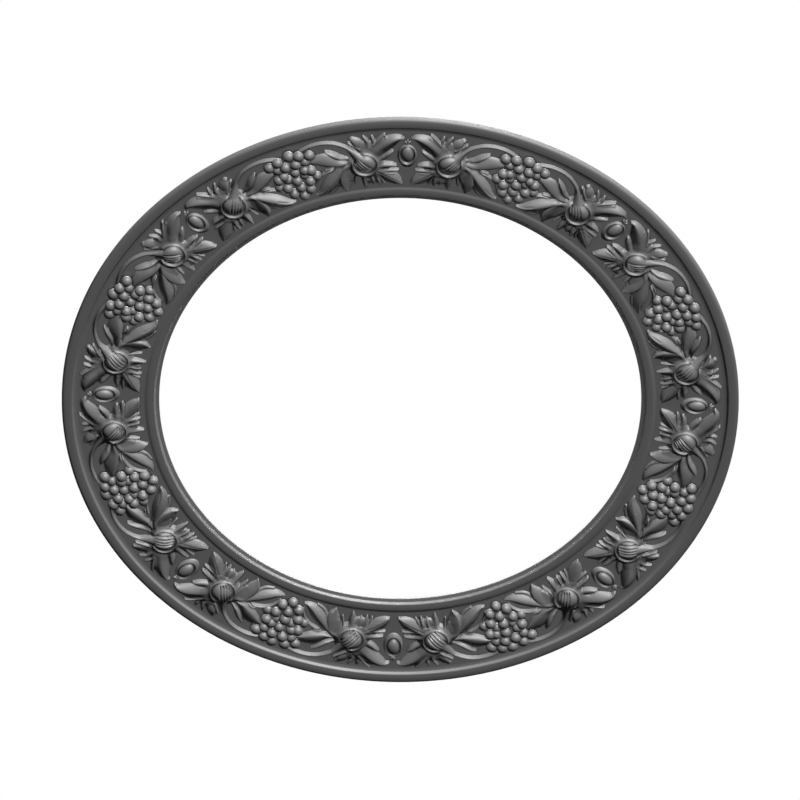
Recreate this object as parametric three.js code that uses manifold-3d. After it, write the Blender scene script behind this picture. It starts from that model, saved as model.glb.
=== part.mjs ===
// A round picture frame with a carved front, shown as it hangs: the carved side faces -Y, +Z is up
// and X runs to the right. The origin is the ring's centre on the wall plane. Millimetres.
//
// A thin carved plate is glued to a plain backing ring. The backing ring holds the glass and leaves
// a recess behind it for a picture. Leaf sprays, grape bunches and cabochons are cast one by one
// and glued to the flat band between the plate's two raised rims.

import * as THREE from 'three';
import { mergeVertices } from 'three/addons/utils/BufferGeometryUtils.js';
import Module from 'manifold-3d';

const wasm = await Module();
wasm.setup();

// Driving sizes of the carved plate. The sight radius is that of the opening.
const sightRadius = 200;
const sightLipWidth = 3.2;
const innerRimWidth = 11;
const innerRimHeight = 1.5;
const innerRimBevel = 0.9;
const bandWidth = 61;
const outerRimWidth = 9;
const outerRimHeight = 3.8;
const outerRimBevel = 1;
const shoulderWidth = 3;
const shoulderDrop = 2.4;
const plateThickness = 2.7;

// Driving sizes of what stands behind the plate
const backingDepth = 12;
const backingInset = 13;
const backingBevel = 1.5;
const rebateWidth = 14.5;
const wallGap = 6;
const glassThickness = 2;
const glassAllowance = 1.5;
const filletWidth = 8;
const filletDepth = 4;
const seatGap = 0.3;

// Driving sizes of the carving, all heights measured from the flat band
const motifCount = 8;
const grapeRadius = 4.6;
const moundHeight = 6.4;
const figCupRadius = 11.2;
const figCupFoot = 2.8;
const figCupLip = 1.4;
const figCupHeight = 5;
const figHeight = 9.8;
const stemWidth = 5.8;
const stemHeight = 4.8;
const settingWidth = 16.8;
const settingLength = 23.4;
const settingHeight = 3.2;
const settingBevel = 1.5;
const settingShift = 2.2;
const stoneWidth = 11.8;
const stoneLength = 16.4;
const stoneHeight = 5;
const stoneShift = 1.1;
const carvingGap = 0.35;

// Driving sizes of the turn buttons, screws, hanger and bumpers
const buttonCount = 4;
const buttonReach = 24;
const buttonWidth = 12;
const buttonNoseRadius = 4.2;
const buttonThickness = 1.6;
const buttonLap = 10;
const screwRadius = 1.7;
const screwLength = 9;
const screwHeadRadius = 3.6;
const screwHeadHeight = 1.5;
const runningGap = 0.3;
const strapWidth = 13;
const strapThickness = 1.2;
const strapTopBelowRim = 23;
const strapFirstScrewDrop = 21;
const strapScrewSpacing = 8.5;
const wireRadius = 1.1;
const knuckleWall = 1.15;
const loopHalfWidth = 9;
const loopArm = 6;
const loopCorner = 2;
const bumperRadius = 8;
const bumperBevel = 1;
const bumperAngle = 30;

// How finely round shapes are cut
const plateSegments = 56;
const hiddenSegments = 48;
const smallSegments = 8;
const bumperSegments = 14;
const buttonSegments = 6;
const figSegments = 9;
const grapeSegments = 5;
const ovalPoints = 12;
const tubeSegments = 12;
const wireSides = 6;
const bowSteps = 8;

// Places worked out from the sizes above. Y runs from the front, negative, to the wall at zero.
const backingBackY = -wallGap;
const plateBackY = backingBackY - backingDepth;
const bandY = plateBackY - plateThickness;
const bandInnerRadius = sightRadius + innerRimWidth;
const bandOuterRadius = bandInnerRadius + bandWidth;
const frameRadius = bandOuterRadius + outerRimWidth;
const halfBand = bandWidth / 2;
const bandRadius = bandInnerRadius + halfBand;
const halfMotif = (bandRadius * Math.PI) / motifCount;
const backingOuterRadius = frameRadius - backingInset;
const backingInnerRadius = sightRadius + rebateWidth;

// Where a quarter turn is half done, as a share of the radius
const halfTurn = Math.SQRT1_2;

// Finishes
const graphite = new THREE.MeshStandardMaterial({ color: 0x565656, roughness: 0.5, metalness: 0.1 });
const backingWood = new THREE.MeshStandardMaterial({ color: 0x6d5a45, roughness: 0.8, metalness: 0 });
const filletWood = new THREE.MeshStandardMaterial({ color: 0x8a7557, roughness: 0.8, metalness: 0 });
const clearGlass = new THREE.MeshStandardMaterial({ color: 0xf2f7f5, roughness: 0.05, metalness: 0 });
const steel = new THREE.MeshStandardMaterial({ color: 0xa9a9a6, roughness: 0.35, metalness: 1 });
const brass = new THREE.MeshStandardMaterial({ color: 0xb08d4a, roughness: 0.35, metalness: 1 });
const felt = new THREE.MeshStandardMaterial({ color: 0x3c3a37, roughness: 0.95, metalness: 0 });

const frame = new THREE.Group();

// Keeps only position, merges shared vertices and turns the faces outward
function closedSolid(geometry) {
  geometry.deleteAttribute('normal');
  geometry.deleteAttribute('uv');
  const merged = mergeVertices(geometry);
  const position = merged.attributes.position;
  const index = Array.from(merged.index.array);
  const solid = [];
  const a = new THREE.Vector3();
  const b = new THREE.Vector3();
  const c = new THREE.Vector3();
  let volume = 0;
  for (let i = 0; i < index.length; i += 3) {
    const [p, q, r] = index.slice(i, i + 3);
    if (p === q || q === r || r === p) continue;
    a.fromBufferAttribute(position, p);
    b.fromBufferAttribute(position, q);
    c.fromBufferAttribute(position, r);
    volume += a.dot(b.cross(c));
    solid.push(p, q, r);
  }
  if (volume < 0) solid.reverse();
  merged.setIndex(solid);
  return merged;
}

function toManifold(geometry) {
  return new wasm.Manifold(new wasm.Mesh({
    numProp: 3,
    vertProperties: new Float32Array(geometry.attributes.position.array),
    triVerts: new Uint32Array(geometry.index.array),
  }));
}

function fromManifold(manifold) {
  const mesh = manifold.getMesh();
  const geometry = new THREE.BufferGeometry();
  geometry.setAttribute('position', new THREE.BufferAttribute(mesh.vertProperties, 3));
  geometry.setIndex(Array.from(mesh.triVerts));
  return geometry;
}

function join(geometries) {
  return geometries.map(toManifold).reduce((whole, piece) => whole.add(piece));
}

// Skins a row of rings that have equal point counts. The first ring is closed by a fan, and the
// last one by a fan too, or by a point if it holds only one.
function loft(rings) {
  const points = rings.flat();
  const count = rings[0].length;
  const triangles = [];
  for (let row = 0; row + 1 < rings.length; row += 1) {
    const here = row * count;
    const next = here + count;
    for (let i = 0; i < count; i += 1) {
      const j = (i + 1) % count;
      if (rings[row + 1].length === 1) {
        triangles.push(here + i, here + j, next);
      } else {
        triangles.push(here + i, here + j, next + j, here + i, next + j, next + i);
      }
    }
  }
  const last = (rings.length - 1) * count;
  for (let i = 1; i + 1 < count; i += 1) {
    triangles.push(0, i + 1, i);
    if (rings.at(-1).length > 1) triangles.push(last, last + i, last + i + 1);
  }
  const geometry = new THREE.BufferGeometry();
  geometry.setAttribute('position', new THREE.Float32BufferAttribute(points.flatMap((p) => p.toArray()), 3));
  geometry.setIndex(triangles);
  return closedSolid(geometry);
}

function addMesh(name, geometry, material, parent = frame) {
  const mesh = new THREE.Mesh(geometry, material);
  mesh.name = name;
  parent.add(mesh);
  return mesh;
}

// A group turned about Y, so that what is built at the top of the ring comes to this clock angle
function turned(degrees) {
  const group = new THREE.Group();
  group.rotation.y = THREE.MathUtils.degToRad(degrees);
  frame.add(group);
  return group;
}

// A profile of [radius, y] points turned about the ring's axis
function turnedRing(profile, segments = hiddenSegments) {
  const points = [...profile, profile[0]].map(([r, y]) => new THREE.Vector2(r, y));
  return closedSolid(new THREE.LatheGeometry(points, segments));
}

// A profile that starts and ends on the axis, turned about Y at a place
function turnedSolid(profile, x, z, segments = smallSegments) {
  const points = profile.map(([r, y]) => new THREE.Vector2(r, y));
  return closedSolid(new THREE.LatheGeometry(points, segments)).translate(x, 0, z);
}

// A flat outline in X and Z, given thickness from yBack towards the front
function flatPlate(shape, yBack, thickness, curveSegments = smallSegments) {
  const geometry = new THREE.ExtrudeGeometry(shape, { depth: thickness, bevelEnabled: false, curveSegments });
  return closedSolid(geometry.rotateX(Math.PI / 2).translate(0, yBack, 0));
}

// The radius that a faceted hole needs, so that its flats still clear a round of this radius
function clearRadius(radius, sides) {
  return radius / Math.cos(Math.PI / sides);
}

// A place on the flat band: along the band clockwise from the motif's middle, across it towards
// the outer rim, and up from it
function onBand(along, across, height) {
  const angle = along / bandRadius;
  const radius = bandRadius + across;
  return new THREE.Vector3(radius * Math.sin(angle), bandY - height, radius * Math.cos(angle));
}

// The carving's places are drawn as percentages, [of half a motif along, of half the band across],
// and this gives them in millimetres
function drawn([along, across]) {
  return new THREE.Vector2((along / 100) * halfMotif, (across / 100) * halfBand);
}

// The carved plate: a sight lip, the low inner rim, the flat band and the raised outer rim
function carvedPlate() {
  const lipRadius = sightRadius + sightLipWidth;
  const innerRimTop = bandY - innerRimHeight;
  const outerRimTop = bandY - outerRimHeight;
  return turnedRing([
    [sightRadius, plateBackY],
    [sightRadius, plateBackY - plateThickness / 2],
    [lipRadius, bandY],
    [lipRadius, innerRimTop + innerRimBevel],
    [lipRadius + innerRimBevel, innerRimTop],
    [bandInnerRadius - innerRimBevel, innerRimTop],
    [bandInnerRadius, bandY],
    [bandOuterRadius, bandY],
    [bandOuterRadius, outerRimTop + outerRimBevel],
    [bandOuterRadius + outerRimBevel, outerRimTop],
    [frameRadius - shoulderWidth, outerRimTop],
    [frameRadius, outerRimTop + shoulderDrop],
    [frameRadius, plateBackY],
  ], plateSegments);
}

// The plain ring behind the plate, with pilot holes for every screw that goes into it
function backingRing(screwPlaces) {
  const ring = turnedRing([
    [backingInnerRadius, plateBackY],
    [backingOuterRadius, plateBackY],
    [backingOuterRadius, backingBackY - backingBevel],
    [backingOuterRadius - backingBevel, backingBackY],
    [backingInnerRadius, backingBackY],
  ]);
  const holeRadius = clearRadius(screwRadius + runningGap, smallSegments);
  const holes = screwPlaces.map(([x, z]) => closedSolid(
    new THREE.CylinderGeometry(holeRadius, holeRadius, screwLength * 2, smallSegments),
  ).translate(x, backingBackY, z));
  return fromManifold(holes.map(toManifold).reduce((solid, hole) => solid.subtract(hole), toManifold(ring)));
}

function glassPane() {
  const radius = backingInnerRadius - glassAllowance;
  return turnedSolid([
    [0, plateBackY],
    [radius, plateBackY],
    [radius, plateBackY + glassThickness],
    [0, plateBackY + glassThickness],
  ], 0, 0, hiddenSegments);
}

function glassFillet() {
  const front = plateBackY + glassThickness;
  const outer = backingInnerRadius - seatGap;
  return turnedRing([
    [outer - filletWidth, front],
    [outer, front],
    [outer, front + filletDepth],
    [outer - filletWidth, front + filletDepth],
  ]);
}

// Each lobe of a leaf spray: where its midrib starts, bends and ends, then half its width and the
// height of its midrib as percentages of half the band. The spray is drawn for the side clockwise
// of the cabochon. Cuts say how far along the midrib its cross-sections stand.
const shortCuts = [0, 0.6];
const longCuts = [0, 0.4, 0.8];
const leafLobes = [
  { part: 'long lobe over the cabochon', base: [29.7, 13.8], bend: [17.5, 71.1], tip: [1.6, 62.8], half: 21.7, rise: 13.8, cuts: longCuts },
  { part: 'rim tooth', base: [32.7, 26.3], bend: [32.2, 55.9], tip: [32.2, 82.9], half: 14.5, rise: 10.5 },
  { part: 'rim lobe', base: [36.9, 19.7], bend: [38, 59.2], tip: [47.5, 83.6], half: 15.1, rise: 12.5 },
  { part: 'lobe beside the setting', base: [26.9, 8.2], bend: [17.9, 9.5], tip: [11, 31.6], half: 11.2, rise: 11.2 },
  { part: 'short lobe under the setting', base: [25.8, -19.7], bend: [16.9, -18.4], tip: [6.1, -29.6], half: 15.1, rise: 11.2 },
  { part: 'large inner lobe', base: [28.5, -23], bend: [13.2, -44.4], tip: [2.6, -81.9], half: 21.1, rise: 11.8, cuts: longCuts },
  { part: 'inner teeth', base: [31.1, -29.6], bend: [28, -59.2], tip: [26.4, -85.5], half: 17.1, rise: 9.2 },
  { part: 'inner tooth', base: [37.4, -29.6], bend: [38.5, -59.2], tip: [39.9, -90.1], half: 15.1, rise: 9.9 },
  { part: 'inner lobe before the bunch', base: [49.1, -9.9], bend: [56.6, -38.2], tip: [58.2, -91.4], half: 19.1, rise: 11.2 },
  { part: 'large lobe under the bunch', base: [49.1, 0], bend: [68.2, -29.6], tip: [89.8, -80.6], half: 25, rise: 13.8, cuts: longCuts },
  { part: 'upper lobe at the bunch', base: [49.1, 5.6], bend: [66.5, 6.6], tip: [86.5, 34.5], half: 21.1, rise: 14.5, cuts: longCuts },
  { part: 'curled lobe', base: [48, 10], bend: [61.7, 3.3], tip: [70, 53.3], half: 9.9, rise: 14.5, cuts: longCuts },
];

// A lobe's midrib is a curve with one bend and sinks towards the tip. Its width stays full over the
// first half and rounds in to the tip, and its section is a low roof on the band.
const lobeSinking = 0.35;
const lobeRounding = 0.6;
function leafLobe({ base, bend, tip, half, rise, cuts = shortCuts }) {
  const midrib = new THREE.QuadraticBezierCurve(drawn(base), drawn(bend), drawn(tip));
  const sections = cuts.map((t) => {
    const middle = midrib.getPoint(t);
    const aside = midrib.getTangent(t).rotateAround(new THREE.Vector2(), Math.PI / 2);
    const reach = (half / 100) * halfBand * (1 - t ** 3) ** lobeRounding;
    return [
      onBand(middle.x - aside.x * reach, middle.y - aside.y * reach, 0),
      onBand(middle.x, middle.y, (rise / 100) * halfBand * (1 - lobeSinking * t)),
      onBand(middle.x + aside.x * reach, middle.y + aside.y * reach, 0),
    ];
  });
  return loft([...sections, [onBand(...drawn(tip), 0)]]);
}

// The fig's cup and the fig in it, turned about their own axis
const figPlace = [36.8, -6.9];
function figInCup() {
  const centre = onBand(...drawn(figPlace), 0);
  const figRadius = figCupRadius - figCupLip;
  const domeHeight = figHeight - figCupHeight;
  return turnedSolid([
    [0, bandY],
    [figCupRadius + figCupFoot, bandY],
    [figCupRadius, bandY - figCupHeight],
    [figRadius, bandY - figCupHeight],
    [figRadius * halfTurn, bandY - figCupHeight - domeHeight * halfTurn],
    [0, bandY - figHeight],
  ], centre.x, centre.z, figSegments);
}

// The stem swells out of the fig's neck, arches along the outer rim and ends at the bunch
const stemPath = [[40.6, 8.2], [50.1, 44.7], [57.8, 66.8], [66.6, 76.3], [74.5, 79.3], [82.3, 77.3], [89.1, 71.1]];
const neckEnd = 1 / 3;
const neckSwell = 0.7;
function stem() {
  const route = new THREE.CatmullRomCurve3(stemPath.map((place) => new THREE.Vector3(...drawn(place), 0)));
  const steps = stemPath.length - 1;
  const sections = stemPath.map((place, step) => {
    const t = step / steps;
    const middle = route.getPoint(t);
    const ahead = route.getTangent(t);
    const swell = Math.max(0, 1 - t / neckEnd) * neckSwell;
    const foot = (stemWidth / 2) * (1 + swell);
    const crown = foot / 2;
    const height = stemHeight * (1 + swell / 2);
    const offset = (reach, up) => onBand(middle.x - ahead.y * reach, middle.y + ahead.x * reach, up);
    return [offset(-foot, 0), offset(-crown, height), offset(crown, height), offset(foot, 0)];
  });
  return loft(sections);
}

// The grapes of one bunch as [percentage along, percentage across, height of the middle as a
// percentage of the grape's radius], symmetric about the bunch's axis apart from the few on it
const axisGrapes = [[0, -15.1, 96], [1.3, 13.8, 91], [1.3, 65.5, 61], [0, -70.4, 39]];
const pairedGrapes = [
  [4.6, 38.2, 109], [10.8, -27.3, 91], [8.2, -53.9, 57], [17.5, 50.7, 57], [14.9, 5.6, 87], [9.2, 58.9, 78],
];
const allGrapes = [...axisGrapes, ...pairedGrapes, ...pairedGrapes.map(([along, across, up]) => [-along, across, up])];

// A grape's middle, where along counts from the bunch's axis
function grapeMiddle([along, across, up]) {
  return onBand(...drawn([along, across]), (up / 100) * grapeRadius);
}

// The mound under the grapes is drawn for one side of the bunch's axis. Its top is a little smaller
// than its foot.
const moundSide = [[0, 65.8], [9.5, 62.5], [19, 49.3], [13.7, 23], [15.8, 0], [17.9, -23], [10.5, -46.1], [0, -72.4]];
const moundTaper = 0.82;
function mound(footHeight, topHeight, taper) {
  const outline = [...moundSide, ...moundSide.slice(1, -1).reverse().map(([along, across]) => [-along, across])];
  const ring = (share, height) => outline.map((place) => {
    const { x, y } = drawn(place).multiplyScalar(share);
    return onBand(x, y, height);
  });
  return loft([ring(1, footHeight), ring(taper, topHeight)]);
}

// One bunch: a low mound with faceted grapes on it, cut flat where it is glued down
function grapeBunch() {
  const grapes = allGrapes.map((grape) => {
    const middle = grapeMiddle(grape);
    return turnedSolid([
      [0, bandY],
      [grapeRadius, bandY],
      [grapeRadius, middle.y],
      [grapeRadius * halfTurn, middle.y - grapeRadius * halfTurn],
      [0, middle.y - grapeRadius],
    ], middle.x, middle.z, grapeSegments);
  });
  return fromManifold(join([mound(0, moundHeight, moundTaper), ...grapes]));
}

// The room that a bunch takes, with its gap, at one end of a spray
function bunchRoom() {
  const sides = 10;
  const reach = clearRadius(grapeRadius + carvingGap, sides);
  const tall = figHeight * 3;
  const posts = allGrapes.map((grape) => {
    const middle = grapeMiddle(grape);
    const post = closedSolid(new THREE.CylinderGeometry(reach, reach, tall, sides));
    return post.translate(middle.x, bandY, middle.z);
  });
  const turn = new THREE.Matrix4().makeRotationY(Math.PI / motifCount);
  return join([mound(-figHeight, figHeight * 2, 1), ...posts].map((piece) => piece.applyMatrix4(turn)));
}

// One cabochon: an oval setting with a stone like half an egg in it, set a little outward
function cabochon() {
  const oval = (width, length, height, shift) => Array.from({ length: ovalPoints }, (_, i) => {
    const angle = (i / ovalPoints) * Math.PI * 2;
    const z = bandRadius + settingShift + shift + Math.cos(angle) * (length / 2);
    return new THREE.Vector3(Math.sin(angle) * (width / 2), bandY - height, z);
  });
  const grooveHeight = settingHeight / 2;
  const domeHeight = stoneHeight - grooveHeight;
  return loft([
    oval(settingWidth, settingLength, 0, 0),
    oval(settingWidth - settingBevel * 2, settingLength - settingBevel * 2, settingHeight, 0),
    oval(stoneWidth, stoneLength, grooveHeight, stoneShift),
    oval(stoneWidth * halfTurn, stoneLength * halfTurn, grooveHeight + domeHeight * halfTurn, stoneShift),
    [onBand(0, settingShift + stoneShift, stoneHeight)],
  ]);
}

// The room that a cabochon takes, with its gap
function cabochonRoom() {
  const sides = 20;
  const radius = clearRadius(1, sides);
  const post = closedSolid(new THREE.CylinderGeometry(radius, radius, figHeight * 2, sides));
  post.scale(settingWidth / 2 + carvingGap, 1, settingLength / 2 + carvingGap);
  return toManifold(post.translate(0, bandY, bandRadius + settingShift));
}

// A spray is one casting: its lobes, the fig in its cup and the stem, cut back from its neighbours
function leafSpray() {
  const whole = join([...leafLobes.map(leafLobe), figInCup(), stem()]);
  return fromManifold(whole.subtract(bunchRoom()).subtract(cabochonRoom()));
}

// The other hand of a spray, on the anticlockwise side of the cabochon
function mirrored(geometry) {
  const copy = geometry.clone().scale(-1, 1, 1);
  copy.setIndex(Array.from(geometry.index.array).reverse());
  return copy;
}

// A turn button rests along the ring, pivoted at one end, and its free end swings over the recess
const buttonPivotRadius = backingInnerRadius - buttonLap + buttonReach;
const buttonBackY = backingBackY + buttonThickness;
const screwHoleRadius = clearRadius(screwRadius + runningGap, smallSegments);
function turnButton() {
  const half = buttonWidth / 2;
  const shape = new THREE.Shape();
  shape.absarc(0, 0, half, Math.PI / 2, (Math.PI * 3) / 2, false);
  shape.lineTo(half, -half);
  shape.absarc(buttonReach - buttonNoseRadius, 0, buttonNoseRadius, -Math.PI / 2, Math.PI / 2, false);
  shape.lineTo(half, half);
  shape.closePath();
  const hole = new THREE.Path();
  hole.absarc(0, 0, screwHoleRadius, 0, Math.PI * 2, true);
  shape.holes.push(hole);
  return flatPlate(shape, buttonBackY, buttonThickness, buttonSegments).translate(0, 0, buttonPivotRadius);
}

// A round-headed screw along Y with its head towards the wall
function screw(x, z, underHeadY) {
  return turnedSolid([
    [0, underHeadY - screwLength],
    [screwRadius, underHeadY - screwLength + screwRadius * 2],
    [screwRadius, underHeadY],
    [screwHeadRadius, underHeadY],
    [screwHeadRadius * halfTurn, underHeadY + screwHeadHeight * halfTurn],
    [0, underHeadY + screwHeadHeight],
  ], x, z);
}

// The hanger: a strap with a knuckle at its upper end that holds the bar of a wire loop. Its lower
// end is round about the second screw.
const knuckleRadius = wireRadius + runningGap + knuckleWall;
const knuckleY = backingBackY + knuckleRadius;
const knuckleZ = frameRadius - strapTopBelowRim;
const strapBackY = backingBackY + strapThickness;
const strapScrewDrops = [strapFirstScrewDrop, strapFirstScrewDrop + strapScrewSpacing];
function hangerStrap() {
  const half = strapWidth / 2;
  const shape = new THREE.Shape();
  shape.moveTo(-half, 0);
  shape.lineTo(half, 0);
  shape.absarc(0, -strapScrewDrops.at(-1), half, 0, -Math.PI, true);
  shape.closePath();
  strapScrewDrops.forEach((drop) => {
    const hole = new THREE.Path();
    hole.absarc(0, -drop, screwHoleRadius, 0, Math.PI * 2, false);
    shape.holes.push(hole);
  });
  const strap = flatPlate(shape, strapBackY, strapThickness).translate(0, 0, knuckleZ);
  const boreRadius = clearRadius(wireRadius + runningGap, tubeSegments);
  const [barrel, bore] = [[knuckleRadius, strapWidth], [boreRadius, strapWidth * 2]].map(([radius, length]) => (
    closedSolid(new THREE.CylinderGeometry(radius, radius, length, tubeSegments))
      .rotateZ(Math.PI / 2).translate(0, knuckleY, knuckleZ)
  ));
  const block = closedSolid(new THREE.BoxGeometry(frameRadius, frameRadius, frameRadius));
  block.translate(0, backingBackY - frameRadius / 2, knuckleZ);
  const whole = join([strap, barrel]).subtract(toManifold(bore)).subtract(toManifold(block));
  return fromManifold(whole);
}

// The wire loop hangs down from the knuckle: a straight bar, two arms and a half-round bow
function hangerLoop() {
  const route = [[-loopHalfWidth + loopCorner, 0], [loopHalfWidth - loopCorner, 0], [loopHalfWidth, -loopCorner]];
  for (let step = 0; step <= bowSteps; step += 1) {
    const angle = (step / bowSteps) * Math.PI;
    route.push([loopHalfWidth * Math.cos(angle), -loopArm - loopHalfWidth * Math.sin(angle)]);
  }
  route.push([-loopHalfWidth, -loopCorner]);
  const rings = route.map(([x, z], i) => {
    const [px, pz] = route.at(i - 1);
    const [nx, nz] = route[(i + 1) % route.length];
    const before = new THREE.Vector2(x - px, z - pz).normalize();
    const after = new THREE.Vector2(nx - x, nz - z).normalize();
    const ahead = before.clone().add(after).normalize();
    const stretch = 1 / ahead.dot(after);
    return Array.from({ length: wireSides }, (_, side) => {
      const angle = ((side + 0.5) / wireSides) * Math.PI * 2;
      const aside = Math.cos(angle) * wireRadius * stretch;
      const deep = Math.sin(angle) * wireRadius;
      return [x - ahead.y * aside, knuckleY + deep, knuckleZ + z + ahead.x * aside];
    });
  });
  const triangles = [];
  rings.forEach((ring, row) => {
    const here = row * wireSides;
    const next = ((row + 1) % rings.length) * wireSides;
    for (let i = 0; i < wireSides; i += 1) {
      const j = (i + 1) % wireSides;
      triangles.push(here + i, here + j, next + j, here + i, next + j, next + i);
    }
  });
  const geometry = new THREE.BufferGeometry();
  geometry.setAttribute('position', new THREE.Float32BufferAttribute(rings.flat(2), 3));
  geometry.setIndex(triangles);
  return closedSolid(geometry);
}

// A felt bumper between the backing ring and the wall
function bumper(x, z) {
  return turnedSolid([
    [0, backingBackY],
    [bumperRadius, backingBackY],
    [bumperRadius, -bumperBevel],
    [bumperRadius - bumperBevel, 0],
    [0, 0],
  ], x, z, bumperSegments);
}

function clockPlace(radius, degrees) {
  const angle = THREE.MathUtils.degToRad(degrees);
  return [radius * Math.sin(angle), radius * Math.cos(angle)];
}

const motifPitch = 360 / motifCount;
const buttonPitch = 360 / buttonCount;
const buttonAngles = Array.from({ length: buttonCount }, (_, i) => (i + 0.5) * buttonPitch);
const buttonPlaces = buttonAngles.map((degrees) => clockPlace(buttonPivotRadius, degrees));
const strapScrewPlaces = strapScrewDrops.map((drop) => [0, knuckleZ - drop]);

addMesh('carved_plate', carvedPlate(), graphite);
addMesh('backing_ring', backingRing([...buttonPlaces, ...strapScrewPlaces]), backingWood);
addMesh('glass_pane', glassPane(), clearGlass);
addMesh('glass_fillet', glassFillet(), filletWood);

const sprayRight = leafSpray();
const sprayLeft = mirrored(sprayRight);
const bunch = grapeBunch();
const stone = cabochon();
for (let i = 0; i < motifCount; i += 1) {
  const motif = turned(i * motifPitch);
  addMesh(`leaf_spray_right_${i + 1}`, sprayRight, graphite, motif);
  addMesh(`leaf_spray_left_${i + 1}`, sprayLeft, graphite, motif);
  addMesh(`cabochon_${i + 1}`, stone, graphite, motif);
  addMesh(`grape_bunch_${i + 1}`, bunch, graphite, turned((i + 0.5) * motifPitch));
}

const button = turnButton();
buttonAngles.forEach((degrees, i) => {
  addMesh(`turn_button_${i + 1}`, button, brass, turned(degrees));
  addMesh(`turn_button_screw_${i + 1}`, screw(...buttonPlaces[i], buttonBackY + runningGap), steel);
});

addMesh('hanger_strap', hangerStrap(), steel);
addMesh('hanger_loop', hangerLoop(), steel);
strapScrewPlaces.forEach(([x, z], i) => addMesh(`hanger_screw_${i + 1}`, screw(x, z, strapBackY), steel));

const bumperPlaceRadius = (backingInnerRadius + backingOuterRadius) / 2;
[180 - bumperAngle, 180 + bumperAngle].forEach((degrees, i) => {
  addMesh(`wall_bumper_${i + 1}`, bumper(...clockPlace(bumperPlaceRadius, degrees)), felt);
});

export default frame;
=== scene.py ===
"""Round carved picture frame: the dressed model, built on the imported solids."""

import math

import bpy
import numpy as np
from mathutils import Matrix, Vector


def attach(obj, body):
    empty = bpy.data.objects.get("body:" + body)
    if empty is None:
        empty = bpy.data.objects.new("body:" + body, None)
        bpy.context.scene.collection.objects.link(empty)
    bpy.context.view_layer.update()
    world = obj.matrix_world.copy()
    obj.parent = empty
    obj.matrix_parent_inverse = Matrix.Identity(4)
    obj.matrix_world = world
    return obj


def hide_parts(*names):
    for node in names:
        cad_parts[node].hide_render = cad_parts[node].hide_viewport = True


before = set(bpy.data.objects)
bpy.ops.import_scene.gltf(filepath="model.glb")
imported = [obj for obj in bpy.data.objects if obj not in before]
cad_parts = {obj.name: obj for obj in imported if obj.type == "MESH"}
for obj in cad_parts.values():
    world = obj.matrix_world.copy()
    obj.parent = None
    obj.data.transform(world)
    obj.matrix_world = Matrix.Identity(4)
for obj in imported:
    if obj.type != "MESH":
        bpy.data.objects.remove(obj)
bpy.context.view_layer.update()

bl_info = {
    "name": "Carved Picture Frame",
    "version": (1, 0, 0),
    "blender": (4, 5, 0),
    "location": "3D View > Sidebar > Carved Frame",
    "description": "Builds a round lacquered frame carved with grapes, figs, leaves and cabochons",
    "category": "Add Mesh",
}

MM = 0.001
MOTIFS = 8
MOTIF_TURN = 2 * math.pi / MOTIFS


# Settings


def linear(hex_colour):
    """Turn an sRGB hex colour into linear red, green, blue and alpha."""
    parts = np.array([int(hex_colour[i:i + 2], 16) for i in (1, 3, 5)]) / 255
    low = parts / 12.92
    high = ((parts + 0.055) / 1.055) ** 2.4
    return (*np.where(parts <= 0.04045, low, high).tolist(), 1.0)


def length(name, description, default):
    """A length in metres, shown with the scene's unit."""
    return bpy.props.FloatProperty(
        name=name, description=description, default=default, precision=5, unit="LENGTH"
    )


def colour(name, description, default):
    """A colour that the user can pick."""
    return bpy.props.FloatVectorProperty(
        name=name, description=description, default=linear(default), size=4,
        subtype="COLOR", min=0.0, max=1.0,
    )


class FrameSizes(bpy.types.PropertyGroup):
    """Sizes of the carving and of the turned plate under it."""

    sight_radius: length("Sight radius", "Radius of the opening", 200.0 * MM)
    band_radius: length("Band radius", "Middle of the carved band", 241.5 * MM)
    band_face: length("Band face", "Place of the flat band in front of the wall", -20.7 * MM)
    plate_back: length("Plate back", "Back of the carved plate", -18.0 * MM)
    square: length("Drawing square", "One square of the carving drawing", 0.83 * MM)
    inner_rim: length("Inner rim height", "Rise of the inner rim above the band", 0.6 * MM)
    outer_rim: length("Outer rim height", "Rise of the outer rim above the band", 2.8 * MM)
    backing_inner: length("Backing inner radius", "Radius of the rebate", 214.5 * MM)
    backing_outer: length("Backing outer radius", "Radius of the backing ring", 268.0 * MM)
    backing_face: length("Backing face", "Back of the backing ring", -6.0 * MM)
    fillet_front: length("Fillet front", "Side of the fillet that touches the glass", -16.0 * MM)
    fillet_back: length("Fillet back", "Back of the fillet", -12.0 * MM)
    fillet_width: length("Fillet width", "Width of the fillet", 8.0 * MM)
    relief: bpy.props.FloatProperty(
        name="Relief", description="Height of the carving, 1 is as drawn",
        default=1.0, min=0.2, max=1.0, subtype="FACTOR",
    )
    cell: bpy.props.FloatProperty(
        name="Carving cell", description="Fineness of the carved sheet in drawing squares",
        default=0.5, min=0.3, max=2.0,
    )


class FrameFinishes(bpy.types.PropertyGroup):
    """Colours of the finishes."""

    lacquer: colour("Lacquer", "Satin graphite lacquer on the carving", "#5c5c5c")
    backing: colour("Backing wood", "Bare limewood of the backing ring", "#c9a878")
    fillet: colour("Fillet wood", "Pine strip that holds the glass", "#d8bc8c")
    brass: colour("Brass", "Brushed brass of the turn buttons", "#c9a25a")
    zinc: colour("Zinc", "Zinc plate on the hanger and screws", "#b4b8bc")
    felt: colour("Felt", "Wool felt of the wall bumpers", "#5a5650")


def sizes():
    return bpy.context.scene.carved_frame_sizes


def finishes():
    return bpy.context.scene.carved_frame_finishes


# Meshes


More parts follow.
